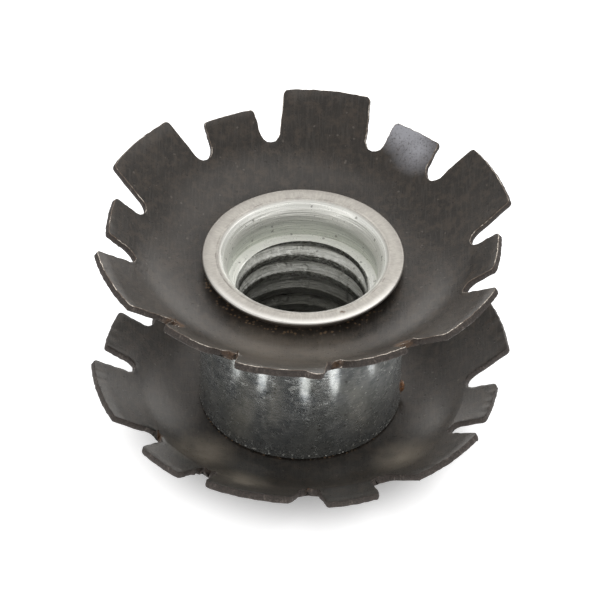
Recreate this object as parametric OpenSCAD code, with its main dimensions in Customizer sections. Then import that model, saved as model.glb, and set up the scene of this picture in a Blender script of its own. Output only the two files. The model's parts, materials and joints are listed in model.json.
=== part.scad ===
// Double-star threaded tube insert: a tapped sleeve with a dished star washer riveted on at each end.
// The part stands on its lower lip, with the thread axis on Z and the origin at the foot of that axis.
// All lengths are in millimetres and all angles in degrees.

/* [Thread] */
// Nominal diameter of the tapped thread
thread_d = 10; // [8:0.5:12]
// Pitch of the tapped thread
thread_pitch = 1.5; // [0.75:0.25:2]

/* [Sleeve] */
// Length of the plain body between the two shoulders
body_len = 10.9; // [6:0.1:30]
// Width of each shoulder that a washer rests on
shoulder_w = 0.9; // [0.6:0.05:2]
// Wall of the thin neck that passes through a washer and is rolled over
neck_wall = 0.9; // [0.6:0.05:1.4]
// Width of the rolled lip beyond its neck
lip_w = 0.85; // [0.5:0.05:1.4]
// Thickness of the rolled lip
lip_t = 0.95; // [0.8:0.05:1.6]
// Width of the lip beyond its neck where it bears on a washer
lip_foot_w = 0.25; // [0.1:0.05:0.6]
// Radius of the lip's rounded outer edge
lip_edge_r = 0.15; // [0.1:0.05:0.3]
// Width of the bell mouth where the lip rolls into the counterbore
mouth_w = 0.8; // [0.3:0.05:0.85]
// How much of the mouth's width is a taper below its round edge
mouth_taper_w = 0.1; // [0.05:0.05:0.25]
// Depth of the bell mouth below the face of the lip
mouth_depth = 1.5; // [0.9:0.05:2.2]
// Depth of the plain counterbore below the face of the lip
counterbore_depth = 2.55; // [1.2:0.05:4]

/* [Star washers] */
// Thickness of the spring-steel sheet
sheet_t = 0.5; // [0.4:0.05:1]
// Diameter across the outer edges of the wide teeth
star_d = 28.4; // [27.6:0.1:36]
// Number of wide teeth, with one narrow tooth between each two
tooth_pairs = 6; // [5:1:6]
// Width of a wide tooth
wide_tooth_w = 5.9; // [4.6:0.1:6.4]
// Width of a narrow tooth
narrow_tooth_w = 3.65; // [2.6:0.05:4.4]
// Length of a narrow tooth along the sheet, beyond its bend
narrow_tooth_len = 2.55; // [1.7:0.05:3.1]
// How far the lower corner of a sheared tip is broken away
tip_break = 0.2; // [0.05:0.05:0.3]
// Half width of the notches where their straight sides begin
notch_r = 0.7; // [0.4:0.05:0.8]
// How far the round bottom of a notch is punched past its straight sides
notch_relief = 0.03; // [0.02:0.01:0.2]
// Flat margin of the hub outside the sleeve's shoulder and lip
hub_margin = 0.35; // [0.1:0.05:1]
// Straight flank between the round of the dish and the notch bottoms
flank_margin = 0.3; // [0.1:0.05:0.8]
// Slope of the dish where it meets the notches
dish_angle = 36; // [20:1:44]

/* [Set of the teeth] */
// Slope of the upper washer's teeth
upper_lift = 38; // [20:1:50]
// Turn of the upper washer about the thread axis
upper_turn = 24.2; // [0:0.1:60]
// Slope of the lower washer's teeth
lower_lift = 35; // [20:1:50]
// Turn of the lower washer about the thread axis
lower_turn = 16.2; // [0:0.1:60]

/* [Fits] */
// Room between the thread's nominal diameter and the counterbore wall
counterbore_clearance = 0.05; // [0.02:0.01:0.3]
// Room between a neck and the hole of its washer
rivet_clearance = 0.05; // [0.02:0.01:0.2]

/* [Hidden] */
$fn = 96;
// How far cutting shapes run past what they cut
overrun = 1;
// Number of straight steps in the round bend of a dish
bend_steps = 8;

// Sleeve radii, from the bore outwards
bore_r = (thread_d - thread_pitch) / 2;
counterbore_r = thread_d / 2 + counterbore_clearance;
neck_r = counterbore_r + neck_wall;
body_r = neck_r + shoulder_w;
lip_r = neck_r + lip_w;
mouth_edge_r = mouth_w - mouth_taper_w;
washer_hole_r = neck_r + rivet_clearance;

// Heights up the sleeve, from the face of the lower lip
lower_hub_top_z = lip_t + sheet_t;
upper_shoulder_z = lower_hub_top_z + body_len;
upper_hub_top_z = upper_shoulder_z + sheet_t;
sleeve_h = upper_hub_top_z + lip_t;

// Plan of the notches: each lies between the straight sides of a wide and a narrow tooth
star_r = star_d / 2;
tooth_step = 180 / tooth_pairs;
wide_half_w = wide_tooth_w / 2;
narrow_half_w = narrow_tooth_w / 2;
notch_apex_x = (wide_half_w * cos(tooth_step) + narrow_half_w) / sin(tooth_step);
notch_run = notch_r / sin(tooth_step / 2);
notch_centre_x = notch_apex_x + notch_run * cos(tooth_step / 2);
notch_centre_y = wide_half_w + notch_run * sin(tooth_step / 2);
notch_centre_r = norm([notch_centre_x, notch_centre_y]);
notch_angle = atan2(notch_centre_y, notch_centre_x);

// Section of the dish: flat hub, round bend, then a straight flank to the notch bottoms, where the teeth begin
hub_r = max(body_r, lip_r) + hub_margin;
notch_root_r = notch_centre_r - notch_r - notch_relief;
flank_r = notch_root_r - flank_margin;
dish_bend_r = (flank_r - hub_r) / sin(dish_angle);
dish_rise = dish_bend_r * (1 - cos(dish_angle));
tooth_root = [notch_root_r, dish_rise + flank_margin * tan(dish_angle)];

// Length along the sheet of a wide tooth that leans at the given slope and reaches the star's diameter
function wide_tooth_len(lift) =
    (star_r - (sheet_t - tip_break) * sin(lift) - notch_root_r) / cos(lift);

// A unit vector at an angle, in the plane of an outline
function heading(angle) = [cos(angle), sin(angle)];

// Points of the hub and the round bend at a depth below the dish's upper face, from the hole outwards
function dish_face(depth) = [
    [washer_hole_r, -depth],
    for (i = [0 : bend_steps])
        [hub_r, dish_bend_r] + (dish_bend_r + depth) * heading(dish_angle * i / bend_steps - 90)
];

// Corner under the sheet where the dish turns into a tooth that leans at the given slope
function root_corner(lift) =
    tooth_root + sheet_t / cos((lift - dish_angle) / 2) * heading((lift + dish_angle) / 2 - 90);

// A list in reverse order
function reversed(list) = [for (i = [len(list) - 1 : -1 : 0]) list[i]];

// Half section of the turned sleeve's outside, with a groove at each end for a washer
module sleeve_outline() {
    square([neck_r, sleeve_h]);
    translate([0, lower_hub_top_z]) square([body_r, body_len]);
    lip_outline();
    translate([0, sleeve_h]) mirror([0, 1]) lip_outline();
}

// Half section of the lower lip's outside: widest by its face, and drawn in towards the washer
module lip_outline() {
    polygon([
        [0, 0],
        [lip_r - lip_edge_r, 0],
        [lip_r, lip_edge_r],
        [neck_r + lip_foot_w, lip_t],
        [0, lip_t]
    ]);
    translate([lip_r - lip_edge_r, lip_edge_r]) circle(r = lip_edge_r);
}

// Half section of the lower counterbore and its bell mouth: a round edge, then a slight taper
module counterbore_outline() {
    mouth_r = counterbore_r + mouth_w;
    translate([0, -overrun]) square([counterbore_r, counterbore_depth + overrun]);
    difference() {
        polygon([
            [0, 0],
            [mouth_r, 0],
            [mouth_r, mouth_edge_r],
            [mouth_r - mouth_edge_r, mouth_edge_r],
            [counterbore_r, mouth_depth],
            [0, mouth_depth]
        ]);
        translate([mouth_r, mouth_edge_r]) circle(r = mouth_edge_r);
    }
}

module threaded_sleeve() {
    color("silver")
    rotate_extrude()
    difference() {
        sleeve_outline();
        translate([0, -overrun]) square([bore_r, sleeve_h + 2 * overrun]);
        counterbore_outline();
        translate([0, sleeve_h]) mirror([0, 1]) counterbore_outline();
    }
}

// Half section of a dished washer with teeth that lean at the given slope
module washer_section(lift) {
    tip = tooth_root + wide_tooth_len(lift) * heading(lift);
    polygon(concat(
        dish_face(0),
        [
            tooth_root,
            tip,
            tip + (sheet_t - tip_break) * heading(lift - 90),
            tip + sheet_t * heading(lift - 90) - tip_break * heading(lift),
            root_corner(lift)
        ],
        reversed(dish_face(sheet_t))
    ));
}

// A ring that covers what lies beyond the tips of the narrow teeth
module narrow_tip_ring(lift) {
    rotate_extrude()
    translate(tooth_root)
    rotate(lift)
    polygon([
        [narrow_tooth_len, overrun],
        [narrow_tooth_len, tip_break - sheet_t],
        [narrow_tooth_len - tip_break - overrun, -sheet_t - overrun],
        [star_r, -sheet_t - overrun],
        [star_r, overrun]
    ]);
}

// Copies a plan shape to every tooth pair and raises it through the washer
module through_washer() {
    for (i = [0 : tooth_pairs - 1])
        rotate(2 * tooth_step * i)
        translate([0, 0, -sheet_t - overrun])
        linear_extrude(sheet_t + star_r) children();
}

// Plan of the notch beside a wide tooth that points along X: a round bottom with straight open sides
module notch_plan() {
    centre = [notch_centre_x, notch_centre_y];
    wide_side = centre + notch_r * heading(-90);
    narrow_side = centre + notch_r * heading(tooth_step + 90);
    translate(centre) circle(r = notch_r + notch_relief);
    polygon([
        wide_side,
        wide_side + star_r * heading(0),
        narrow_side + star_r * heading(tooth_step),
        narrow_side
    ]);
}

// Plan of the field of one narrow tooth, out to the middle of the notches beside it
module narrow_field_plan() {
    half_angle = tooth_step - notch_angle;
    rotate(tooth_step) polygon([
        [0, 0],
        2 * star_r * heading(-half_angle),
        2 * star_r * heading(half_angle)
    ]);
}

// A washer with its hub's upper face at zero height and one wide tooth along X
module star_washer(lift) {
    difference() {
        rotate_extrude() washer_section(lift);
        through_washer() notch_plan();
        through_washer() mirror([0, 1]) notch_plan();
        intersection() {
            narrow_tip_ring(lift);
            through_washer() narrow_field_plan();
        }
    }
}

module upper_star_washer() {
    color("dimgray")
    translate([0, 0, upper_hub_top_z]) rotate(upper_turn) star_washer(upper_lift);
}

module lower_star_washer() {
    color("darkslategray")
    translate([0, 0, lower_hub_top_z]) rotate(lower_turn) star_washer(lower_lift);
}

threaded_sleeve();
upper_star_washer();
lower_star_washer();
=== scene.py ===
import json
import math

import bmesh
import bpy
from mathutils import Matrix, Vector


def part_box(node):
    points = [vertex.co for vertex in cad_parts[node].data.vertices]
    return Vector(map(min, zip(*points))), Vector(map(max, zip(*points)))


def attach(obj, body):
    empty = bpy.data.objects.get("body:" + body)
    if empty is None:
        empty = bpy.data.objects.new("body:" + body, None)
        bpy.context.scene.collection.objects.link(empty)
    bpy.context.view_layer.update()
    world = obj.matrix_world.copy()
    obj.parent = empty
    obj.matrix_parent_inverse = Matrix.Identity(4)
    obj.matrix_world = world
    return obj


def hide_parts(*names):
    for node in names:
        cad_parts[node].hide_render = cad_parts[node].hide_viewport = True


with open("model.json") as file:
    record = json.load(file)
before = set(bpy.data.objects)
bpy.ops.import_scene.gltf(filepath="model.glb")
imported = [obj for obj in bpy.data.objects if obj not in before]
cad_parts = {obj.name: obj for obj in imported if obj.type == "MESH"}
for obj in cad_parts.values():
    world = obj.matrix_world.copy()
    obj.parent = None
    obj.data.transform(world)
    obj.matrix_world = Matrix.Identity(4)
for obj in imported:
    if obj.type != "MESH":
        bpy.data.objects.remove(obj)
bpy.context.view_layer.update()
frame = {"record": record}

# Pieces are modelled in millimetres and brought to metres when they are finished
MM = 0.001
# Points that lie nearer to each other than this become one
MERGE = 0.002
# Faces that meet at less than this angle are shaded as one smooth surface
SMOOTH_ANGLE = math.radians(35)
# Room under the part that keeps its lower lip from lying in the floor's own plane, in metres
FLOOR_GAP = 0.00001

# Sleeve sizes: the outside and the thread come from the frame, the small forms are listed here
SLEEVE_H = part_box("threaded_sleeve")[1].z / MM
BODY_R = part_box("threaded_sleeve")[1].x / MM
COUNTERBORE_R = 5.05
NECK_R = 5.95
MOUTH_W = 0.8
MOUTH_DEPTH = 1.5
MOUTH_STEPS = 18
LIP_R = 6.8
LIP_T = 0.95
LIP_EDGE_R = 0.15
LIP_EDGE_STEPS = 7
LIP_FOOT_R = 6.2
SHOULDER_CHAMFER = 0.12
SLEEVE_STEPS = 192

# Thread sizes
THREAD_MOUNT = next(m for m in frame["record"]["mounts"] if m["name"] == "thread")
THREAD_LEN = THREAD_MOUNT["dims"]["length_mm"]
LEDGE_HIGH = THREAD_MOUNT["pos_m"][2] / MM + THREAD_LEN / 2
LEDGE_LOW = LEDGE_HIGH - THREAD_LEN
PITCH = 1.5
CREST_WEAR = 0.09
CREST_R = THREAD_MOUNT["dims"]["r_mm"] + CREST_WEAR
CREST_ROUND = 0.06
ROOT_R = 5.0
FLANK_SLOPE = math.radians(30)
THREAD_STEPS = 128
# Azimuths, in degrees, where the middle of a crest meets the upper ledge and where the tap tore the crests
CREST_AZIMUTH = 95
TORN_AZIMUTH = 160

# A crumb of rust that clings to the side of the body, and a small stain on the lip
RUST_CRUMB = Vector((BODY_R, -0.25, 2.35))
RUST_CRUMB_R = 0.3
RUST_CRUMB_STRETCH = (0.8, 1, 1.5)
RUST_CRUMB_RAGGED = 0.03
RUST_CRUMB_SEED = 5
LIP_STAIN = (2.7, -5.6, SLEEVE_H)

# Washer sizes
SHEET_T = 0.5
WASHER_HOLE_R = 6.0
HUB_R = 7.2
HUB_RINGS = 3
FLANK_R = 10.91
DISH_ANGLE = math.radians(36)
DISH_STEPS = 14
NOTCH_R = 0.73
NOTCH_CENTRE_R = 11.94
NOTCH_ROOT_R = NOTCH_CENTRE_R - NOTCH_R
NOTCH_ANGLE = math.radians(17.79)
TEETH = 12
TOOTH_STEP = math.radians(360 / TEETH)
WIDE_HALF_W = 2.95
WIDE_COLUMNS = 24
NARROW_HALF_W = 1.825
NARROW_LEN = 2.38
NARROW_COLUMNS = 16
TIP_CORNER_R = 0.3
TIP_BREAK = 0.2
EDGE_BEVEL = 0.035
# Rows of points: degrees round the bottom of a notch, and shares of the straight side of a tooth
NOTCH_SPREADS = (22, 44, 66, 90)
SIDE_SHARES = (0.15, 0.3, 0.45, 0.6, 1)
# Places and slopes of the two washers
STAR_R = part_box("upper_star_washer")[1].y / MM
UPPER_HUB_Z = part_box("upper_star_washer")[0].z / MM + SHEET_T
LOWER_HUB_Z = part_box("lower_star_washer")[0].z / MM + SHEET_T
UPPER_TURN = math.radians(24.2)
LOWER_TURN = math.radians(16.2)
UPPER_WIDE_LIFT = math.radians(38)
UPPER_NARROW_LIFT = math.radians(41.5)
LOWER_WIDE_LIFT = math.radians(35)
LOWER_NARROW_LIFT = math.radians(25.5)

# Degrees by which the lift of single teeth differs, by their number round the washer, even for wide teeth
UPPER_BENDS = {8: -2.5}
LOWER_BENDS = {7: -4, 9: -5}

# Damage to the washers, with azimuths in degrees: ragged edges, burred notches and a corner that hangs down
EDGE_RAGGED = 0.025
EDGE_SEED = 3
BURR_RAGGED = 0.12
BURR_REACH = 1.1
UPPER_BURRS = (222.0, 246.4, 282.0, 306.4)
LOWER_BURRS = (214.0, 238.4, 274.0)
HOOK_AZIMUTH = 276.2
HOOK_RISE = 3.4
HOOK_REACH = 1.0
HOOK_DROP = 0.3
HOOK_SHARES = (1, 0.75, 0.5)

# Rust in the notches: how far it reaches, and the azimuth in degrees and the strength of each spot
UPPER_RUST_REACH = 1.5
UPPER_RUST = ((222.0, 0.95), (246.4, 0.7), (282.0, 0.6), (306.4, 0.85), (186.4, 0.4), (6.4, 0.4))
LOWER_RUST_REACH = 1.1
LOWER_RUST = ((214.0, 0.7), (238.4, 0.5), (274.0, 0.5), (298.4, 0.3), (334.0, 0.3))

# Material slots of a washer
FACE_SLOT, RIM_SLOT, CORNER_SLOT = 0, 1, 2


# Tools for the meshes
def begin(name, radius, height):
    """Starts a piece in edit mode as a single point of its half section."""
    bpy.ops.object.select_all(action="DESELECT")
    bpy.ops.mesh.primitive_plane_add(size=1)
    piece = bpy.context.object
    piece.name = name
    piece.data.name = name
    bpy.ops.object.mode_set(mode="EDIT")
    bpy.ops.mesh.select_mode(type="VERT")
    bpy.ops.mesh.select_all(action="SELECT")
    bpy.ops.mesh.merge(type="CENTER")
    bpy.ops.transform.translate(value=(radius, 0, height))
    return piece


def extrude(x, z):
    """Extrudes what is selected by a distance outwards and a distance upwards."""
    bpy.ops.mesh.extrude_region_move(TRANSFORM_OT_translate={"value": (x, 0, z)})


def draw(section):
    """Extrudes the point that is selected along the rest of a half section, a list of radii and heights."""
    for (r_from, z_from), (r_to, z_to) in zip(section, section[1:]):
        extrude(r_to - r_from, z_to - z_from)


def arc(centre, radius, start, end, steps):
    """Points of a round stretch of a half section, with angles in degrees from the outward direction."""
    angles = [math.radians(start + (end - start) * i / steps) for i in range(steps + 1)]
    return [(centre[0] + radius * math.cos(a), centre[1] + radius * math.sin(a)) for a in angles]


def turn(angle, axis="Z", centre=(0, 0, 0)):
    """Turns what is selected. With no window the operator turns the other way, so the sign is changed."""
    bpy.ops.transform.rotate(value=-angle, orient_axis=axis, center_override=centre)


def pick(piece, chosen):
    """Selects the points of a piece, in edit mode, for which chosen(place) is true."""
    bpy.ops.mesh.select_mode(type="VERT")
    bpy.ops.mesh.select_all(action="DESELECT")
    mesh = bmesh.from_edit_mesh(piece.data)
    for point in mesh.verts:
        point.select = chosen(point.co)
    mesh.select_flush_mode()
    bmesh.update_edit_mesh(piece.data)


def finish_mesh():
    """Merges doubled points and turns all faces outwards, in edit mode."""
    bpy.ops.mesh.select_all(action="SELECT")
    bpy.ops.mesh.remove_doubles(threshold=MERGE)
    bpy.ops.mesh.normals_make_consistent(inside=False)


def to_metres():
    """Brings the active piece from millimetres to metres about the origin."""
    bpy.ops.object.mode_set(mode="EDIT")
    bpy.ops.mesh.select_all(action="SELECT")
    bpy.ops.transform.resize(value=(MM, MM, MM), center_override=(0, 0, 0))
    bpy.ops.object.mode_set(mode="OBJECT")


def apply_modifiers(piece):
    """Applies the modifiers of the active piece."""
    for modifier in list(piece.modifiers):
        bpy.ops.object.modifier_apply(modifier=modifier.name)


def join(pieces):
    """Joins pieces into the first of them and leaves that one active."""
    bpy.ops.object.select_all(action="DESELECT")
    for piece in pieces:
        piece.select_set(True)
    bpy.context.view_layer.objects.active = pieces[0]
    bpy.ops.object.join()
    return pieces[0]


# The sleeve
def upper_half_section():
    """Half section of the sleeve's outside from the upper ledge, over the lip, to the upper shoulder."""
    top = SLEEVE_H
    quarter = arc((0, 0), 1, 180, 90, MOUTH_STEPS)
    mouth = [(COUNTERBORE_R + MOUTH_W * (1 + r), top + MOUTH_DEPTH * (z - 1)) for r, z in quarter]
    return [
        (COUNTERBORE_R, LEDGE_HIGH),
        *mouth,
        *arc((LIP_R - LIP_EDGE_R, top - LIP_EDGE_R), LIP_EDGE_R, 90, -20, LIP_EDGE_STEPS),
        (LIP_FOOT_R, top - LIP_T),
        (NECK_R, top - LIP_T),
        (NECK_R, UPPER_HUB_Z - SHEET_T),
        (BODY_R - SHOULDER_CHAMFER, UPPER_HUB_Z - SHEET_T),
        (BODY_R, UPPER_HUB_Z - SHEET_T - SHOULDER_CHAMFER),
    ]


def thread_section(start_z):
    """One pitch of the thread's half section, from the middle of a crest to the middle of the next."""
    flank = (ROOT_R - CREST_R) * math.tan(FLANK_SLOPE)
    root = PITCH / 8
    crest = PITCH - 2 * flank - root
    z_crest_end = start_z + crest / 2
    z_root_start = z_crest_end + flank
    z_root_end = z_root_start + root
    z_next_crest = z_root_end + flank
    return [
        (CREST_R, start_z),
        (CREST_R, z_crest_end - CREST_ROUND),
        (CREST_R + CREST_ROUND / 2, z_crest_end),
        (ROOT_R - CREST_ROUND, z_root_start),
        (ROOT_R, z_root_start + CREST_ROUND),
        (ROOT_R, z_root_end - CREST_ROUND),
        (ROOT_R - CREST_ROUND, z_root_end),
        (CREST_R + CREST_ROUND / 2, z_next_crest),
        (CREST_R, z_next_crest + CREST_ROUND),
        (CREST_R, start_z + PITCH),
    ]


def model_thread():
    """The tapped band of the bore, wound from one pitch and cut flat at both ledges."""
    turns = math.ceil(THREAD_LEN / PITCH) + 2
    crest_on_x = LEDGE_HIGH - PITCH * math.radians(CREST_AZIMUTH) / math.tau
    section = thread_section(crest_on_x - (turns - 1) * PITCH)
    band = begin("thread_band", *section[0])
    draw(section)
    bpy.ops.object.mode_set(mode="OBJECT")
    screw = band.modifiers.new("winding", "SCREW")
    screw.axis = "Z"
    screw.screw_offset = PITCH
    screw.iterations = turns
    screw.steps = THREAD_STEPS
    screw.render_steps = THREAD_STEPS
    screw.use_merge_vertices = False
    apply_modifiers(band)
    bpy.ops.object.mode_set(mode="EDIT")
    finish_mesh()
    for height, upward in ((LEDGE_HIGH, 1), (LEDGE_LOW, -1)):
        bpy.ops.mesh.select_all(action="SELECT")
        bpy.ops.mesh.bisect(
            plane_co=(0, 0, height), plane_no=(0, 0, upward), clear_outer=True, threshold=MERGE / 100)
    bpy.ops.object.mode_set(mode="OBJECT")
    return band


def model_rust_crumb():
    """A rough, upright lump, half sunk in the body."""
    bpy.ops.object.select_all(action="DESELECT")
    bpy.ops.mesh.primitive_ico_sphere_add(subdivisions=4, radius=RUST_CRUMB_R, location=RUST_CRUMB)
    crumb = bpy.context.object
    bpy.ops.object.transform_apply()
    bpy.ops.object.mode_set(mode="EDIT")
    bpy.ops.mesh.select_all(action="SELECT")
    bpy.ops.transform.resize(value=RUST_CRUMB_STRETCH, center_override=RUST_CRUMB)
    bpy.ops.transform.vertex_random(offset=RUST_CRUMB_RAGGED, normal=1, seed=RUST_CRUMB_SEED)
    bpy.ops.object.mode_set(mode="OBJECT")
    return crumb


def model_sleeve():
    """The turned sleeve, joined to its thread by flat ledges, with the crumb of rust."""
    upper = upper_half_section()
    lower = [(r, SLEEVE_H - z) for r, z in reversed(upper)]
    section = upper + lower
    turned = begin("threaded_sleeve_turned", *section[0])
    draw(section)
    bpy.ops.mesh.select_all(action="SELECT")
    bpy.ops.mesh.spin(steps=SLEEVE_STEPS, angle=math.tau, center=(0, 0, 0), axis=(0, 0, 1))
    finish_mesh()
    bpy.ops.object.mode_set(mode="OBJECT")
    join([turned, model_thread(), model_rust_crumb()])
    bpy.ops.object.mode_set(mode="EDIT")
    for height in (LEDGE_HIGH, LEDGE_LOW):
        bpy.ops.mesh.select_mode(type="EDGE")
        bpy.ops.mesh.select_all(action="DESELECT")
        mesh = bmesh.from_edit_mesh(turned.data)
        for edge in mesh.edges:
            edge.select = edge.is_boundary and all(abs(v.co.z - height) < MERGE for v in edge.verts)
        bmesh.update_edit_mesh(turned.data)
        bpy.ops.mesh.fill(use_beauty=True)
    finish_mesh()
    bpy.ops.object.mode_set(mode="OBJECT")
    to_metres()
    bpy.ops.object.shade_smooth_by_angle(angle=SMOOTH_ANGLE)
    return turned


# The star washers
def dish_section():
    """Upper face of the dish from the hole to the notch bottoms, with the hub at zero height."""
    bend_r = (FLANK_R - HUB_R) / math.sin(DISH_ANGLE)
    bend = arc((HUB_R, bend_r), bend_r, -90, -90 + math.degrees(DISH_ANGLE), DISH_STEPS)
    hub = [(WASHER_HOLE_R + (HUB_R - WASHER_HOLE_R) * i / HUB_RINGS, 0) for i in range(HUB_RINGS)]
    return hub + bend + [(NOTCH_ROOT_R, bend[-1][1] + (NOTCH_ROOT_R - FLANK_R) * math.tan(DISH_ANGLE))]


# Height of the notch bottoms above the hub, where the teeth begin
NOTCH_RISE = dish_section()[-1][1]


def on_washer(hub_z, radius, azimuth, rise):
    """A place on a washer from its hub's height, its radius, its azimuth in degrees and its rise."""
    angle = math.radians(azimuth)
    return Vector((radius * math.cos(angle), radius * math.sin(angle), hub_z + rise))


def tooth_rows(notch_angle, half_width, length, lift):
    """Radius, height and half angle of each row of points from a notch bottom to the tip of a tooth."""
    outline = [(NOTCH_ROOT_R, notch_angle)]
    for spread in NOTCH_SPREADS:
        r = NOTCH_CENTRE_R - NOTCH_R * math.cos(math.radians(spread))
        opening = math.acos((r * r + NOTCH_CENTRE_R ** 2 - NOTCH_R ** 2) / (2 * r * NOTCH_CENTRE_R))
        outline.append((r, notch_angle - opening))
    side_len = NOTCH_ROOT_R + length * math.cos(lift) - NOTCH_CENTRE_R
    for share in SIDE_SHARES:
        r = NOTCH_CENTRE_R + side_len * share
        outline.append((r, math.asin(half_width / r)))
    return [(r, NOTCH_RISE + (r - NOTCH_ROOT_R) * math.tan(lift), angle) for r, angle in outline]


def model_sector(name, columns, notch_angle, half_width, length, lift):
    """One tooth and its share of the dish as a single face of sheet, with the tooth along X."""
    section = dish_section()
    sector = begin(name, *section[0])
    draw(section)
    bpy.ops.mesh.select_all(action="SELECT")
    turn(notch_angle)
    bpy.ops.mesh.spin(steps=columns, angle=2 * notch_angle, center=(0, 0, 0), axis=(0, 0, 1))
    rows = tooth_rows(notch_angle, half_width, length, lift)
    pick(sector, lambda co: co.xy.length > NOTCH_ROOT_R - MERGE)
    for (r_from, z_from, a_from), (r, z, a) in zip(rows, rows[1:]):
        extrude(r - r_from, z - z_from)
        depth = r * (1 - math.cos(a)) / (r_from * (1 - math.cos(a_from)))
        width = r * math.sin(a) / (r_from * math.sin(a_from))
        bpy.ops.transform.resize(value=(depth, width, 1), center_override=(r, 0, z))
    tip_r, tip_z, tip_a = rows[-1]
    corner_y = tip_r * math.sin(tip_a)
    pick(sector, lambda co: co.z > tip_z - MERGE and abs(co.y) > corner_y - MERGE)
    bpy.ops.mesh.bevel(offset=TIP_CORNER_R, segments=4, affect="VERTICES")
    bpy.ops.object.mode_set(mode="OBJECT")
    return sector


def place_sector(sector, angle, bend):
    """A copy of a sector with its tooth bent a little further, turned to its place on the washer."""
    bpy.ops.object.select_all(action="DESELECT")
    sector.select_set(True)
    bpy.context.view_layer.objects.active = sector
    bpy.ops.object.duplicate()
    copy = bpy.context.object
    bpy.ops.object.mode_set(mode="EDIT")
    pick(copy, lambda co: co.z > NOTCH_RISE + MERGE)
    turn(-bend, "Y", (NOTCH_ROOT_R, 0, NOTCH_RISE))
    bpy.ops.mesh.select_all(action="SELECT")
    turn(angle)
    bpy.ops.object.mode_set(mode="OBJECT")
    return copy


def pick_edge(washer, chosen):
    """Selects, in edit mode, points of the outer edge where chosen(place) is true, tip corners apart."""
    bpy.ops.mesh.select_mode(type="VERT")
    bpy.ops.mesh.select_all(action="DESELECT")
    mesh = bmesh.from_edit_mesh(washer.data)
    for point in mesh.verts:
        on_side = len(point.link_edges) > 2 and point.co.xy.length > HUB_R
        point.select = point.is_boundary and on_side and chosen(point.co)
    mesh.select_flush_mode()
    bmesh.update_edit_mesh(washer.data)


def pick_corners(washer, upward):
    """Selects, in edit mode, the outer corners of a washer's sheared rim with its upper or lower face."""
    bpy.ops.mesh.select_mode(type="EDGE")
    bpy.ops.mesh.select_all(action="DESELECT")
    mesh = bmesh.from_edit_mesh(washer.data)
    mesh.normal_update()
    for edge in mesh.edges:
        slots = sorted(face.material_index for face in edge.link_faces)
        if slots == [FACE_SLOT, RIM_SLOT] and edge.verts[0].co.xy.length > HUB_R:
            face = next(face for face in edge.link_faces if face.material_index == FACE_SLOT)
            edge.select = (face.normal.z > 0) == upward
    bmesh.update_edit_mesh(washer.data)


def damage(washer, hub_z, burrs, hooks):
    """Makes the edge ragged, more so at the burrs, and lets hooked corners hang down, in edit mode."""
    pick_edge(washer, lambda co: True)
    bpy.ops.transform.vertex_random(offset=EDGE_RAGGED, uniform=1, seed=EDGE_SEED)
    for azimuth in burrs:
        spot = on_washer(hub_z, NOTCH_ROOT_R, azimuth, NOTCH_RISE)
        pick_edge(washer, lambda co: (co - spot).length < BURR_REACH)
        bpy.ops.transform.vertex_random(offset=BURR_RAGGED, uniform=1, seed=round(azimuth))
    for azimuth in hooks:
        corner = on_washer(hub_z, STAR_R, azimuth, HOOK_RISE)
        for share in HOOK_SHARES:
            pick(washer, lambda co: (co - corner).length < HOOK_REACH * share)
            bpy.ops.transform.translate(value=(0, 0, -HOOK_DROP / len(HOOK_SHARES)))


def thicken(washer):
    """Gives the sheet its thickness, and breaks the corners of its sheared rim."""
    for _ in (FACE_SLOT, RIM_SLOT, CORNER_SLOT):
        washer.data.materials.append(None)
    sheet = washer.modifiers.new("sheet", "SOLIDIFY")
    sheet.thickness = SHEET_T
    sheet.offset = -1
    sheet.material_offset_rim = RIM_SLOT
    apply_modifiers(washer)
    bpy.ops.object.mode_set(mode="EDIT")
    for offset, upward, slot in ((TIP_BREAK, False, RIM_SLOT), (EDGE_BEVEL, True, CORNER_SLOT)):
        pick_corners(washer, upward)
        bpy.ops.mesh.bevel(offset=offset, segments=2, material=slot)
    bpy.ops.object.mode_set(mode="OBJECT")


def model_star_washer(name, hub_z, angle, wide_lift, narrow_lift, bends, burrs, hooks=()):
    """A dished washer of wide and narrow teeth in turn, the first of them wide and at the given angle."""
    wide_len = (STAR_R - (SHEET_T - TIP_BREAK) * math.sin(wide_lift) - NOTCH_ROOT_R) / math.cos(wide_lift)
    wide = model_sector("wide_sector", WIDE_COLUMNS, NOTCH_ANGLE, WIDE_HALF_W, wide_len, wide_lift)
    narrow = model_sector(
        "narrow_sector", NARROW_COLUMNS, TOOTH_STEP - NOTCH_ANGLE, NARROW_HALF_W, NARROW_LEN, narrow_lift)
    sectors = []
    for number in range(TEETH):
        tooth = narrow if number % 2 else wide
        bend = math.radians(bends.get(number, 0))
        sectors.append(place_sector(tooth, angle + number * TOOTH_STEP, bend))
    bpy.data.objects.remove(wide)
    bpy.data.objects.remove(narrow)
    washer = join(sectors)
    washer.name = name
    washer.data.name = name
    bpy.ops.object.mode_set(mode="EDIT")
    bpy.ops.mesh.select_all(action="SELECT")
    bpy.ops.transform.translate(value=(0, 0, hub_z))
    finish_mesh()
    if bmesh.from_edit_mesh(washer.data).faces[:][0].normal.z < 0:
        bpy.ops.mesh.flip_normals()
    damage(washer, hub_z, burrs, hooks)
    bpy.ops.object.mode_set(mode="OBJECT")
    thicken(washer)
    to_metres()
    bpy.ops.object.shade_smooth_by_angle(angle=SMOOTH_ANGLE)
    return washer


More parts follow.
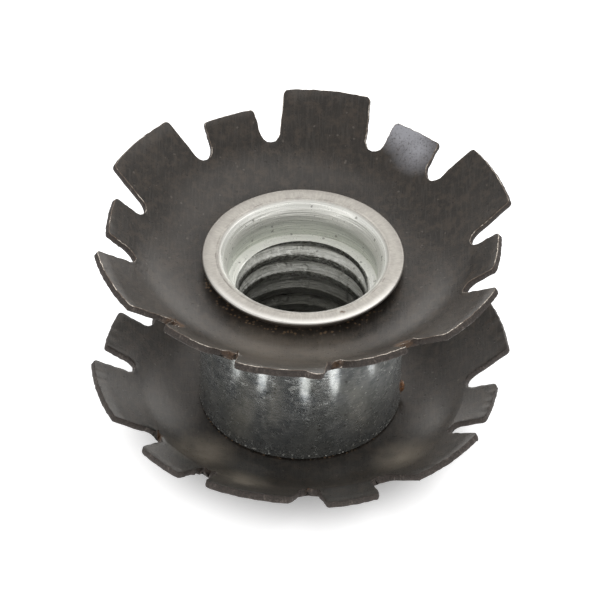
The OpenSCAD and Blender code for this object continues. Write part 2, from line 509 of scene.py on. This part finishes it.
sleeve = model_sleeve()
upper_washer = model_star_washer(
    "upper_star_washer_stamped", UPPER_HUB_Z, UPPER_TURN, UPPER_WIDE_LIFT, UPPER_NARROW_LIFT,
    UPPER_BENDS, UPPER_BURRS, [HOOK_AZIMUTH])
lower_washer = model_star_washer(
    "lower_star_washer_stamped", LOWER_HUB_Z, LOWER_TURN, LOWER_WIDE_LIFT, LOWER_NARROW_LIFT,
    LOWER_BENDS, LOWER_BURRS)

for piece, node, slot in (
    (sleeve, "threaded_sleeve", "zinc_sleeve"),
    (upper_washer, "upper_star_washer", "black_spring_steel"),
    (lower_washer, "lower_star_washer", "black_spring_steel"),
):
    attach(piece, "root")
    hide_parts(node)


# Tools for the finishes
def add(tree, kind, values=None, **settings):
    """Adds a node with its settings, and gives each input a value or joins it to another node's output."""
    node = tree.nodes.new(kind)
    for name, setting in settings.items():
        setattr(node, name, setting)
    for name, value in (values or {}).items():
        if isinstance(value, bpy.types.NodeSocket):
            tree.links.new(value, node.inputs[name])
        else:
            node.inputs[name].default_value = value
    return node


def calc(tree, operation, *values):
    """The result of one step of arithmetic."""
    return add(tree, "ShaderNodeMath", dict(enumerate(values)), operation=operation).outputs[0]


def in_turn(tree, operation, values):
    """The result of a step of arithmetic that takes in one value after another."""
    result = values[0]
    for value in values[1:]:
        result = calc(tree, operation, result, value)
    return result


def both(tree, *masks):
    """The product of masks."""
    return in_turn(tree, "MULTIPLY", masks)


def either(tree, *masks):
    """The largest of masks."""
    return in_turn(tree, "MAXIMUM", masks)


def total(tree, *values):
    """The sum of values."""
    return in_turn(tree, "ADD", values)


def less(tree, value, part):
    """What is left of a value without a part of it."""
    return calc(tree, "SUBTRACT", value, part)


def apart(tree, value, other):
    """How far apart two values are."""
    return calc(tree, "ABSOLUTE", less(tree, value, other))


def fade(tree, value, start, end):
    """A mask that eases from zero where the value is start to one where it is end."""
    limits = {"Value": value, "From Min": start, "From Max": end}
    return add(tree, "ShaderNodeMapRange", limits, interpolation_type="SMOOTHSTEP").outputs[0]


def blend(tree, share, first, second):
    """A colour between two colours."""
    return add(tree, "ShaderNodeMix", {0: share, 6: first, 7: second}, data_type="RGBA").outputs[2]


def lay(tree, ground, *layers):
    """A ground colour under layers, each a mask and a colour, with the topmost last."""
    for mask, colour in layers:
        ground = blend(tree, mask, ground, colour)
    return ground


def between(tree, share, first, second):
    """A number between two numbers."""
    return add(tree, "ShaderNodeMix", {0: share, 2: first, 3: second}, data_type="FLOAT").outputs[0]


def noise(tree, place, scale, detail=3, roughness=0.55, distortion=0):
    """A cloudy texture, from zero to one."""
    values = {
        "Vector": place, "Scale": scale, "Detail": detail, "Roughness": roughness, "Distortion": distortion}
    return add(tree, "ShaderNodeTexNoise", values).outputs[0]


def stretched(tree, place, scale, rotation=(0, 0, 0)):
    """A place with its axes scaled and turned."""
    values = {"Vector": place, "Scale": scale, "Rotation": rotation}
    return add(tree, "ShaderNodeMapping", values).outputs[0]


def to_place(tree, x, y, z=0):
    """A place from three numbers."""
    return add(tree, "ShaderNodeCombineXYZ", {0: x, 1: y, 2: z}).outputs[0]


def distance_to(tree, place, spot):
    """The distance between two places."""
    return add(tree, "ShaderNodeVectorMath", {0: place, 1: spot}, operation="DISTANCE").outputs["Value"]


def painted(tree, name):
    """A value that is stored on the points of a mesh."""
    return add(tree, "ShaderNodeAttribute", attribute_name=name).outputs["Fac"]


def use(tree, group, values):
    """The results of a node group."""
    return add(tree, "ShaderNodeGroup", values, node_tree=group).outputs


def new_group(name, inputs, outputs):
    """An empty node group: its tree, what comes in and where the results go."""
    tree = bpy.data.node_groups.new(name, "ShaderNodeTree")
    for label, kind in inputs:
        tree.interface.new_socket(label, in_out="INPUT", socket_type=kind)
    for label, kind in outputs:
        tree.interface.new_socket(label, in_out="OUTPUT", socket_type=kind)
    return tree, tree.nodes.new("NodeGroupInput").outputs, tree.nodes.new("NodeGroupOutput").inputs


VECTOR, NUMBER, COLOUR = "NodeSocketVector", "NodeSocketFloat", "NodeSocketColor"


def make_round_place():
    """Radius, azimuth in degrees and height of a place, in millimetres."""
    tree, given, result = new_group(
        "round_place", [("Place", VECTOR)], [("Radius", NUMBER), ("Azimuth", NUMBER), ("Height", NUMBER)])
    x, y, z = add(tree, "ShaderNodeSeparateXYZ", {0: given["Place"]}).outputs
    flat = to_place(tree, x, y)
    radius = add(tree, "ShaderNodeVectorMath", {0: flat}, operation="LENGTH").outputs["Value"]
    azimuth = both(tree, calc(tree, "ARCTAN2", y, x), math.degrees(1))
    for socket, value in zip(result, (radius, azimuth, z)):
        tree.links.new(value, socket)
    return tree


def make_specks():
    """Scattered round flecks: a share of the cells of a given scale holds one of a given size."""
    tree, given, result = new_group(
        "specks",
        [("Place", VECTOR), ("Scale", NUMBER), ("Size", NUMBER), ("Share", NUMBER)],
        [("Mask", NUMBER)])
    ragged = noise(tree, given["Place"], both(tree, given["Scale"], 3))
    cells = add(tree, "ShaderNodeTexVoronoi", {"Vector": given["Place"], "Scale": given["Scale"]})
    reach = calc(tree, "MULTIPLY_ADD", less(tree, ragged, 0.5), 0.5, cells.outputs["Distance"])
    spot = fade(tree, reach, given["Size"], both(tree, given["Size"], 0.6))
    draw_lot = add(tree, "ShaderNodeSeparateColor", {0: cells.outputs["Color"]}).outputs[0]
    held = calc(tree, "LESS_THAN", draw_lot, given["Share"])
    tree.links.new(both(tree, spot, held), result["Mask"])
    return tree


def make_scratches():
    """Thin straight marks in two directions, from long narrow cells."""
    tree, given, result = new_group(
        "scratches", [("Place", VECTOR), ("Scale", NUMBER), ("Share", NUMBER)], [("Mask", NUMBER)])
    layers = []
    for rotation in ((0.4, 0.9, 0.5), (-0.7, 0.5, 1.9)):
        place = stretched(tree, given["Place"], (1, 1, 0.06), rotation)
        cells = add(tree, "ShaderNodeTexVoronoi", {"Vector": place, "Scale": given["Scale"]})
        line = fade(tree, cells.outputs["Distance"], 0.09, 0.03)
        draw_lot = add(tree, "ShaderNodeSeparateColor", {0: cells.outputs["Color"]}).outputs[1]
        layers.append(both(tree, line, calc(tree, "LESS_THAN", draw_lot, given["Share"])))
    tree.links.new(either(tree, *layers), result["Mask"])
    return tree


def make_rust():
    """Rust that breaks up where its amount is low: its mask and its mottled colour."""
    tree, given, result = new_group(
        "rust", [("Place", VECTOR), ("Amount", NUMBER)], [("Mask", NUMBER), ("Colour", COLOUR)])
    patches = noise(tree, given["Place"], 2.6, 5, 0.7)
    grit = noise(tree, given["Place"], 11, 3)
    reach = total(tree, both(tree, given["Amount"], 0.75), both(tree, patches, 0.6))
    tree.links.new(both(tree, fade(tree, reach, 0.62, 0.8), fade(tree, grit, 0.3, 0.5)), result["Mask"])
    tree.links.new(blend(tree, grit, (0.022, 0.012, 0.008, 1), (0.19, 0.11, 0.06, 1)), result["Colour"])
    return tree


ROUND_PLACE = make_round_place()
SPECKS = make_specks()
SCRATCHES = make_scratches()
RUST = make_rust()


def specks(tree, place, scale, size, share):
    """A mask of scattered flecks."""
    return use(tree, SPECKS, {"Place": place, "Scale": scale, "Size": size, "Share": share})[0]


def new_finish(name):
    """A material: itself, its tree, its shader and the object's own place in millimetres."""
    material = bpy.data.materials.new(name)
    material.use_nodes = True
    tree = material.node_tree
    own_place = add(tree, "ShaderNodeTexCoord").outputs["Object"]
    place = stretched(tree, own_place, (1 / MM, 1 / MM, 1 / MM))
    return material, tree, tree.nodes["Principled BSDF"], place


def connect(tree, shader, colour, metallic, roughness, height, strength, depth):
    """Joins the results of a finish to its shader, with its height as a bump some millimetres deep."""
    tree.links.new(colour, shader.inputs["Base Color"])
    tree.links.new(metallic, shader.inputs["Metallic"])
    tree.links.new(roughness, shader.inputs["Roughness"])
    bump = add(tree, "ShaderNodeBump", {"Height": height, "Strength": strength, "Distance": depth * MM})
    tree.links.new(bump.outputs[0], shader.inputs["Normal"])


# The finishes
def make_zinc_finish():
    """Zinc on turned steel: warm lip, ringed mouth, greenish counterbore, torn thread and scuffed body."""
    material, tree, shader, place = new_finish("zinc_sleeve")
    radius, azimuth, height = use(tree, ROUND_PLACE, {"Place": place})

    # Where the lips, the counterbores, the thread and the body lie, the same way at both ends
    half = SLEEVE_H / 2
    thread_end = THREAD_LEN / 2
    body_end = 5.5
    wall_r = COUNTERBORE_R - 0.005
    bore_r = COUNTERBORE_R - 0.02
    from_middle = apart(tree, height, half)
    lip = both(tree, fade(tree, from_middle, half - 0.25, half - 0.03), fade(tree, radius, 5.45, 5.75))
    lip_rim = both(tree, lip, fade(tree, radius, 6.2, 6.65))
    off_line = apart(tree, radius, COUNTERBORE_R + MOUTH_W)
    lip_line = both(
        tree, fade(tree, off_line, 0.05, 0.02), fade(tree, from_middle, half - 0.15, half - 0.08))
    under_lip = both(
        tree, fade(tree, radius, 6.0, 6.1), fade(tree, from_middle, half - 0.2, half - 0.32),
        fade(tree, from_middle, body_end, body_end + 0.2))
    inside = fade(tree, radius, 5.9, 5.7)
    wall = both(
        tree, fade(tree, radius, bore_r, wall_r), inside, fade(tree, from_middle, half - 0.9, half - 1.6))
    off_ledge = apart(tree, from_middle, thread_end)
    ledge = both(tree, fade(tree, off_ledge, 0.03, 0.015), fade(tree, radius, wall_r, bore_r))
    thread = both(
        tree, fade(tree, radius, bore_r, ROOT_R),
        fade(tree, from_middle, thread_end - 0.005, thread_end - 0.03))
    body = both(
        tree, fade(tree, radius, BODY_R - 0.3, BODY_R - 0.15),
        fade(tree, from_middle, body_end + 0.1, body_end))
    off_body = less(tree, 1, body)

    # Textures, some of them wound round the axis or unrolled from the body
    mottle = noise(tree, place, 1.1, 6, 0.7, 0.4)
    cloud = noise(tree, place, 0.36, 3, 0.5)
    grit = noise(tree, place, 9, 4, 0.7)
    tears = noise(tree, place, 3.2, 4, 0.65)
    wound = to_place(tree, both(tree, radius, 6), both(tree, height, 6), both(tree, azimuth, 0.012))
    rings = noise(tree, wound, 1.1, 3, 0.6)
    fanned = to_place(tree, both(tree, azimuth, 0.6), both(tree, radius, 1.6), height)
    spokes = noise(tree, fanned, 1.3, 4, 0.65)
    unrolled = to_place(tree, both(tree, azimuth, math.radians(BODY_R)), height)
    rubbing = noise(tree, stretched(tree, unrolled, (0.45, 1.3, 1)), 4.5, 5, 0.75)
    swirl = noise(tree, stretched(tree, unrolled, (0.6, 1, 1)), 1.5, 3, 0.6, 1.2)
    curls = both(
        tree, fade(tree, apart(tree, swirl, 0.5), 0.012, 0.003),
        fade(tree, noise(tree, unrolled, 1.3, 3), 0.5, 0.62))

    # Torn, shaded, stained and scuffed places
    torn_run = fade(tree, apart(tree, azimuth, TORN_AZIMUTH), 50, 25)
    torn_spots = fade(tree, noise(tree, place, 0.8, 2), 0.5, 0.64)
    torn = both(tree, thread, either(tree, torn_run, torn_spots))
    # Torn metal and a painted highlight: the back half of each ledge is painted bright
    ledge_run = both(tree, fade(tree, azimuth, 8, 22), fade(tree, azimuth, 158, 146))
    torn_ledge_and_highlight = both(tree, ledge, ledge_run, fade(tree, tears, 0.3, 0.5))
    depth = both(
        tree, thread, fade(tree, height, LEDGE_HIGH - 1.0, LEDGE_HIGH - 5.0),
        fade(tree, height, LEDGE_LOW + 0.2, LEDGE_LOW + 1.7))
    crests = both(
        tree, thread, fade(tree, radius, CREST_R + 0.12, CREST_R + 0.02), 0.8,
        fade(tree, rubbing, 0.68, 0.42))
    roots = both(tree, thread, fade(tree, radius, ROOT_R - 0.18, ROOT_R - 0.06), 0.75)
    shaded = either(tree, crests, roots, both(tree, depth, 0.93))
    line_strength = both(tree, fade(tree, mottle, 0.4, 0.6), 0.45)
    stains = both(tree, specks(tree, place, 2.3, 0.27, 0.2), less(tree, 1, both(tree, lip, 0.85)))
    foot = both(tree, body, fade(tree, height, 2.6, 1.6))
    foot_specks = both(tree, foot, specks(tree, place, 4.4, 0.4, 0.5))
    scuffs = both(tree, body, either(tree, both(tree, specks(tree, place, 4.1, 0.37, 0.08), 0.7), curls))
    light_marks = either(tree, both(tree, scuffs, 0.6), foot_specks)
    backward = calc(tree, "SINE", both(tree, azimuth, math.radians(1)))

    # The crumb of rust and the stain on the lip
    rust_spot = distance_to(tree, place, RUST_CRUMB)
    stain_spot = distance_to(tree, place, LIP_STAIN)
    rust_amount = either(
        tree, fade(tree, rust_spot, 0.75, 0.45), both(tree, fade(tree, stain_spot, 0.5, 0.1), 0.55))
    rust_mask, rust_colour = use(tree, RUST, {"Place": place, "Amount": rust_amount})
    fresh_rust = both(tree, fade(tree, rust_spot, 0.65, 0.4), fade(tree, grit, 0.35, 0.6), 0.7)

    # Colours
    bright = blend(tree, fade(tree, rings, 0.35, 0.6), (0.76, 0.76, 0.71, 1), (0.97, 0.965, 0.91, 1))
    warm = blend(tree, fade(tree, spokes, 0.25, 0.75), (0.345, 0.325, 0.295, 1), (0.47, 0.445, 0.405, 1))
    warm = lay(tree, warm, (both(tree, fade(tree, mottle, 0.45, 0.7), 0.4), (0.28, 0.26, 0.24, 1)))
    greenish = blend(tree, fade(tree, rings, 0.35, 0.65), (0.58, 0.60, 0.545, 1), (0.80, 0.82, 0.755, 1))
    dull = blend(tree, fade(tree, mottle, 0.34, 0.66), (0.36, 0.39, 0.405, 1), (0.74, 0.765, 0.75, 1))
    dull = lay(
        tree, dull,
        (both(tree, fade(tree, rubbing, 0.45, 0.68), 0.6), (0.95, 0.96, 0.93, 1)),
        (both(tree, fade(tree, rubbing, 0.48, 0.3), 0.5), (0.17, 0.185, 0.185, 1)),
        (both(tree, fade(tree, cloud, 0.45, 0.7), 0.4), (0.52, 0.53, 0.47, 1)))
    colour = lay(
        tree, bright,
        (lip, warm),
        # Painted shade on the back of the lips' rims and a painted highlight on their front
        (both(tree, lip_rim, fade(tree, backward, -0.4, 0.5), 0.45), (0.2, 0.185, 0.17, 1)),
        (both(tree, lip_rim, fade(tree, backward, -0.2, -0.7), 0.8), (0.75, 0.73, 0.69, 1)),
        (wall, greenish),
        # Torn metal and a painted highlight along the back of each ledge
        (torn_ledge_and_highlight, (0.88, 0.88, 0.82, 1)),
        (both(tree, lip_line, line_strength), (0.12, 0.105, 0.09, 1)),
        (body, dull),
        # Painted shade: the body darker towards the lower washer
        (both(tree, body, fade(tree, height, 6.5, 1.8), 0.55), (0.14, 0.15, 0.15, 1)),
        # Painted shade, with some grime, on the underside of each lip
        (both(tree, under_lip, 0.9), (0.07, 0.045, 0.028, 1)),
        (both(tree, thread, 0.45), (0.22, 0.22, 0.2, 1)),
        (both(tree, torn, fade(tree, tears, 0.5, 0.62), 0.8), (0.9, 0.9, 0.85, 1)),
        (both(tree, thread, fade(tree, rubbing, 0.45, 0.65), 0.4), (0.92, 0.92, 0.88, 1)),
        (shaded, (0.08, 0.078, 0.066, 1)),
        (both(tree, stains, 0.55), (0.09, 0.08, 0.065, 1)),
        (both(tree, light_marks, 0.9), (0.86, 0.87, 0.82, 1)),
        (rust_mask, rust_colour),
        (fresh_rust, (0.45, 0.2, 0.08, 1)))

    # Shine and relief
    dulled = either(
        tree, both(tree, body, 0.22), both(tree, light_marks, 0.6),
        both(tree, inside, between(tree, thread, 0.42, 0.15)))
    hazy_side = both(
        tree, body, fade(tree, azimuth, -78, -50), fade(tree, azimuth, 15, -12), fade(tree, height, 2.5, 7))
    dulled = total(tree, dulled, both(tree, hazy_side, 0.2))
    metallic = less(tree, 1, either(tree, rust_mask, dulled, both(tree, torn_ledge_and_highlight, 0.7), under_lip))
    roughness = total(
        tree, between(tree, body, between(tree, lip, 0.30, 0.36), 0.15),
        both(tree, less(tree, grit, 0.5), off_body, 0.2), both(tree, less(tree, rubbing, 0.4), body, 0.3))
    roughness = between(tree, either(tree, rust_mask, light_marks), roughness, 0.55)
    relief = total(
        tree, both(tree, rings, inside, 5), both(tree, grit, off_body, 0.3),
        both(tree, mottle, between(tree, body, 0.35, 0.15)), both(tree, rubbing, thread, 2),
        both(tree, light_marks, 0.2), both(tree, either(tree, torn, torn_ledge_and_highlight), tears, 4))
    connect(tree, shader, colour, metallic, roughness, relief, 0.5, 0.035)
    return material


def make_blackened_finish():
    """Blackened spring steel: fine grain, faint brushing, light flecks, rust, bare steel with painted
    reflection, painted sheen.
    """
    material, tree, shader, place = new_finish("blackened_face")
    radius, azimuth = use(tree, ROUND_PLACE, {"Place": place})[:2]
    cloud = noise(tree, place, 0.3, 4, 0.55)
    grain = noise(tree, place, 7, 5, 0.7)
    brushed = noise(tree, stretched(tree, place, (6, 0.5, 0.5), (0.2, 0.3, 0.5)), 1.4, 4, 0.65)
    patina = noise(tree, place, 1.5, 6, 0.72)
    flecks = specks(tree, place, 1.9, 0.16, 0.2)
    pits = specks(tree, place, 2.6, 0.25, 0.16)
    scratches = use(tree, SCRATCHES, {"Place": place, "Scale": 0.8, "Share": 0.12})[0]
    at_front = fade(tree, apart(tree, azimuth, -105), 70, 55)
    crumbs = both(
        tree, fade(tree, radius, LIP_FOOT_R, LIP_FOOT_R + 0.05), fade(tree, radius, LIP_R + 0.2, LIP_R),
        both(tree, specks(tree, place, 4.0, 0.46, 0.55), at_front))
    # A painted reflection on bare steel, and painted sheen on the dishes
    bared = both(tree, painted(tree, "bared"), fade(tree, grain, 0.2, 0.55))
    dusty = both(tree, painted(tree, "dusty"), fade(tree, cloud, 0.2, 0.6))
    rust_mask, rust_colour = use(tree, RUST, {"Place": place, "Amount": painted(tree, "rust")})

    black = blend(tree, fade(tree, cloud, 0.3, 0.7), (0.013, 0.0113, 0.0098, 1), (0.028, 0.0235, 0.0198, 1))
    colour = lay(
        tree, black,
        (both(tree, fade(tree, brushed, 0.46, 0.7), 0.6), (0.062, 0.055, 0.049, 1)),
        (both(tree, fade(tree, patina, 0.44, 0.64), 0.75), (0.062, 0.048, 0.037, 1)),
        (both(tree, pits, 0.7), (0.008, 0.006, 0.005, 1)),
        (both(tree, either(tree, flecks, scratches), 0.4), (0.2, 0.175, 0.15, 1)),
        (crumbs, (0.23, 0.155, 0.095, 1)),
        # Painted reflection and painted sheen
        (bared, (0.39, 0.39, 0.42, 1)),
        (dusty, (0.35, 0.30, 0.24, 1)),
        (rust_mask, rust_colour))
    roughness = calc(tree, "MULTIPLY_ADD", less(tree, grain, 0.5), 0.3, 0.31)
    roughness = between(tree, rust_mask, roughness, 0.85)
    relief = total(tree, both(tree, grain, 0.6), both(tree, brushed, 0.5), less(tree, crumbs, pits))
    shader.inputs["Specular IOR Level"].default_value = 0.43
    shader.inputs["Specular Tint"].default_value = (1, 0.95, 0.9, 1)
    shader.inputs["Sheen Weight"].default_value = 0.1
    shader.inputs["Sheen Roughness"].default_value = 0.45
    shader.inputs["Sheen Tint"].default_value = (0.95, 0.85, 0.74, 1)
    connect(tree, shader, colour, both(tree, bared, 0.55), roughness, relief, 0.35, 0.03)
    return material


def make_sheared_finish():
    """The sheared rim of the sheet: grey-brown, torn across its thickness, with streaks of bare steel."""
    material, tree, shader, place = new_finish("sheared_edge")
    tears = noise(tree, stretched(tree, place, (3.4, 3.4, 0.9)), 1.5, 5, 0.7)
    patches = noise(tree, place, 0.8, 3, 0.6)
    grit = noise(tree, place, 8, 3, 0.7)
    bare = both(tree, fade(tree, tears, 0.5, 0.68), fade(tree, patches, 0.42, 0.62))
    rust_amount = total(tree, painted(tree, "rust"), 0.12)
    rust_mask, rust_colour = use(tree, RUST, {"Place": place, "Amount": rust_amount})
    brown = blend(tree, fade(tree, grit, 0.3, 0.7), (0.02, 0.015, 0.012, 1), (0.065, 0.049, 0.04, 1))
    colour = lay(tree, brown, (bare, (0.19, 0.16, 0.14, 1)), (rust_mask, rust_colour))
    metallic = both(tree, bare, less(tree, 1, rust_mask), 0.75)
    roughness = between(tree, bare, 0.6, 0.4)
    relief = total(tree, both(tree, tears, 1.4), both(tree, grit, 0.6))
    connect(tree, shader, colour, metallic, roughness, relief, 0.6, 0.06)
    return material


def make_burr_finish():
    """The thin corner of a sheared edge, rubbed bright in places and tan in others."""
    material, tree, shader, place = new_finish("rubbed_corner")
    runs = noise(tree, place, 0.9, 4, 0.65)
    grit = noise(tree, place, 7, 3, 0.7)
    rubbed = both(tree, fade(tree, runs, 0.45, 0.6), fade(tree, grit, 0.34, 0.5))
    tan = blend(tree, fade(tree, grit, 0.3, 0.7), (0.09, 0.065, 0.048, 1), (0.24, 0.18, 0.135, 1))
    colour = lay(tree, tan, (rubbed, (0.78, 0.70, 0.61, 1)))
    metallic = both(tree, rubbed, 0.7)
    roughness = between(tree, rubbed, 0.55, 0.35)
    connect(tree, shader, colour, metallic, roughness, grit, 0.4, 0.03)
    return material


def paint(piece, name, spots, upper_face=False):
    """Stores how near each point lies to a list of spots: a place in millimetres, a reach and a strength."""
    layer = piece.data.attributes.new(name, "FLOAT", "POINT")
    for point, entry in zip(piece.data.vertices, layer.data):
        place = point.co / MM
        shares = [
            strength * max(0, 1 - (place - centre).length / reach) for centre, reach, strength in spots]
        reached = point.normal.z > 0 or not upper_face
        entry.value = max(shares, default=0) if reached else 0


BLACKENED = make_blackened_finish()
SHEARED = make_sheared_finish()
RUBBED = make_burr_finish()
sleeve.data.materials.append(make_zinc_finish())
for washer, corner in ((upper_washer, RUBBED), (lower_washer, SHEARED)):
    for slot, finish in enumerate((BLACKENED, SHEARED, corner)):
        washer.data.materials[slot] = finish

for washer, hub_z, reach, spots in (
    (upper_washer, UPPER_HUB_Z, UPPER_RUST_REACH, UPPER_RUST),
    (lower_washer, LOWER_HUB_Z, LOWER_RUST_REACH, LOWER_RUST),
):
    paint(washer, "rust", [
        (on_washer(hub_z, NOTCH_ROOT_R, azimuth, NOTCH_RISE), reach, strength)
        for azimuth, strength in spots])
# A painted reflection, partly bare steel, on a narrow tooth of the upper washer
paint(upper_washer, "bared", [
    (on_washer(UPPER_HUB_Z, 13.3, 58, 3.0), 2.6, 1.8),
    (on_washer(UPPER_HUB_Z, 12.4, 52, 2.2), 2.1, 1.2)], upper_face=True)
paint(lower_washer, "bared", [])
# Painted sheen on the front of both dishes
paint(upper_washer, "dusty", [
    (on_washer(UPPER_HUB_Z, 9.0, 255, 0.4), 4.2, 0.3),
    (on_washer(UPPER_HUB_Z, 9.0, 275, 0.4), 4.2, 0.3)], upper_face=True)
paint(lower_washer, "dusty", [
    (on_washer(LOWER_HUB_Z, 9.4, 226, 0.6), 2.7, 1.1),
    (on_washer(LOWER_HUB_Z, 11.2, 249, 1.4), 2.6, 1.7),
    (on_washer(LOWER_HUB_Z, 9.9, 315, 0.7), 2.5, 0.9)], upper_face=True)


# Camera, floor and light
def make_camera():
    """The camera of the photo: its slope, its small roll, and where its frame sits on the upper hub."""
    slope = math.radians(42.10)
    roll = 0.0238
    distance = 471 * MM
    frame_width = 40.204 * MM
    shift_left = 0.198
    shift_down = 2.28
    hub = Vector((0, 0, UPPER_HUB_Z * MM))
    away = Vector((0, -math.cos(slope), math.sin(slope)))
    level_right = Vector((1, 0, 0))
    level_up = Vector((0, math.sin(slope), math.cos(slope)))
    right = level_right * math.cos(roll) + level_up * math.sin(roll)
    up = level_up * math.cos(roll) - level_right * math.sin(roll)
    place = hub + away * distance - right * shift_left * MM - up * shift_down * MM
    data = bpy.data.cameras.new("camera")
    data.sensor_fit = "HORIZONTAL"
    data.sensor_width = 36
    data.lens = data.sensor_width * distance / frame_width
    data.clip_start = 0.01
    camera = bpy.data.objects.new("camera", data)
    bpy.context.scene.collection.objects.link(camera)
    axes = Matrix((right, up, away)).transposed().to_4x4()
    camera.matrix_world = Matrix.Translation(place) @ axes
    bpy.context.scene.camera = camera


def make_floor():
    """A pale floor that keeps the shadow, darkened near the part by a painted shadow, and shows white to the
    camera and in reflections.
    """
    bpy.ops.object.select_all(action="DESELECT")
    bpy.ops.mesh.primitive_plane_add(size=4, location=(0, 0, -FLOOR_GAP))
    floor = bpy.context.object
    floor.name = "floor"
    material = bpy.data.materials.new("pale_floor")
    material.use_nodes = True
    tree = material.node_tree
    shader = tree.nodes["Principled BSDF"]
    shader.inputs["Roughness"].default_value = 1
    shader.inputs["Specular IOR Level"].default_value = 0
    shader.inputs["Emission Color"].default_value = (1, 1, 1, 1)
    place = add(tree, "ShaderNodeTexCoord").outputs["Object"]
    pale = blend(tree, noise(tree, place, 3), (0.885, 0.885, 0.89, 1), (0.9, 0.9, 0.9, 1))
    tree.links.new(pale, shader.inputs["Base Color"])

    # Glow by the distance from the axis, in metres: low near the part as a painted shadow, and weak in far
    # reflections
    rays = add(tree, "ShaderNodeLightPath").outputs
    off_axis = add(tree, "ShaderNodeVectorMath", {0: place}, operation="LENGTH").outputs["Value"]
    near_part = between(tree, fade(tree, off_axis, 0.024, 0.034), 0.9, 0.05)
    mirrored = both(tree, rays["Is Glossy Ray"], fade(tree, off_axis, 0.008, 0.016), near_part)
    # Painted shadow: the camera sees less glow near the part
    past_shadow = between(tree, fade(tree, off_axis, 0.0085, 0.0135), 0.24, 0.8)
    shown = both(tree, rays["Is Camera Ray"], past_shadow)
    tree.links.new(either(tree, shown, mirrored), shader.inputs["Emission Strength"])
    floor.data.materials.append(material)


def add_lamp(name, place, width, height, energy, colour):
    """A soft rectangular lamp, in metres and watts, that faces the part."""
    data = bpy.data.lights.new(name, "AREA")
    data.shape = "RECTANGLE"
    data.size = width
    data.size_y = height
    data.energy = energy
    data.color = colour
    lamp = bpy.data.objects.new(name, data)
    bpy.context.scene.collection.objects.link(lamp)
    lamp.location = place
    lamp.rotation_euler = (-lamp.location).to_track_quat("-Z", "Y").to_euler()


def make_light():
    """A white surround, weaker for diffuse light, with a soft lamp above, a panel behind and two fills."""
    world = bpy.data.worlds.new("studio")
    bpy.context.scene.world = world
    world.use_nodes = True
    tree = world.node_tree
    rays = add(tree, "ShaderNodeLightPath").outputs
    mirrored = either(tree, rays["Is Glossy Ray"], rays["Is Transmission Ray"])
    strength = between(tree, rays["Is Camera Ray"], between(tree, mirrored, 0.5, 0.8), 1.0)
    sky = tree.nodes["Background"]
    sky.inputs["Color"].default_value = (1, 1, 1, 1)
    tree.links.new(strength, sky.inputs["Strength"])
    add_lamp("top_lamp", (0.15, 0.15, 0.6), 0.58, 0.58, 1.3, (1, 1, 1))
    add_lamp("back_panel", (0.06, 0.7, 0.26), 0.85, 0.4, 1.65, (1, 0.99, 0.96))
    add_lamp("right_fill", (0.45, -0.4, 0.2), 0.5, 0.3, 0.35, (1, 0.99, 0.98))
    add_lamp("left_fill", (-0.45, -0.4, 0.2), 0.5, 0.3, 0.5, (1, 0.99, 0.98))


make_camera()
make_floor()
make_light()
bpy.context.scene.view_settings.view_transform = "Standard"
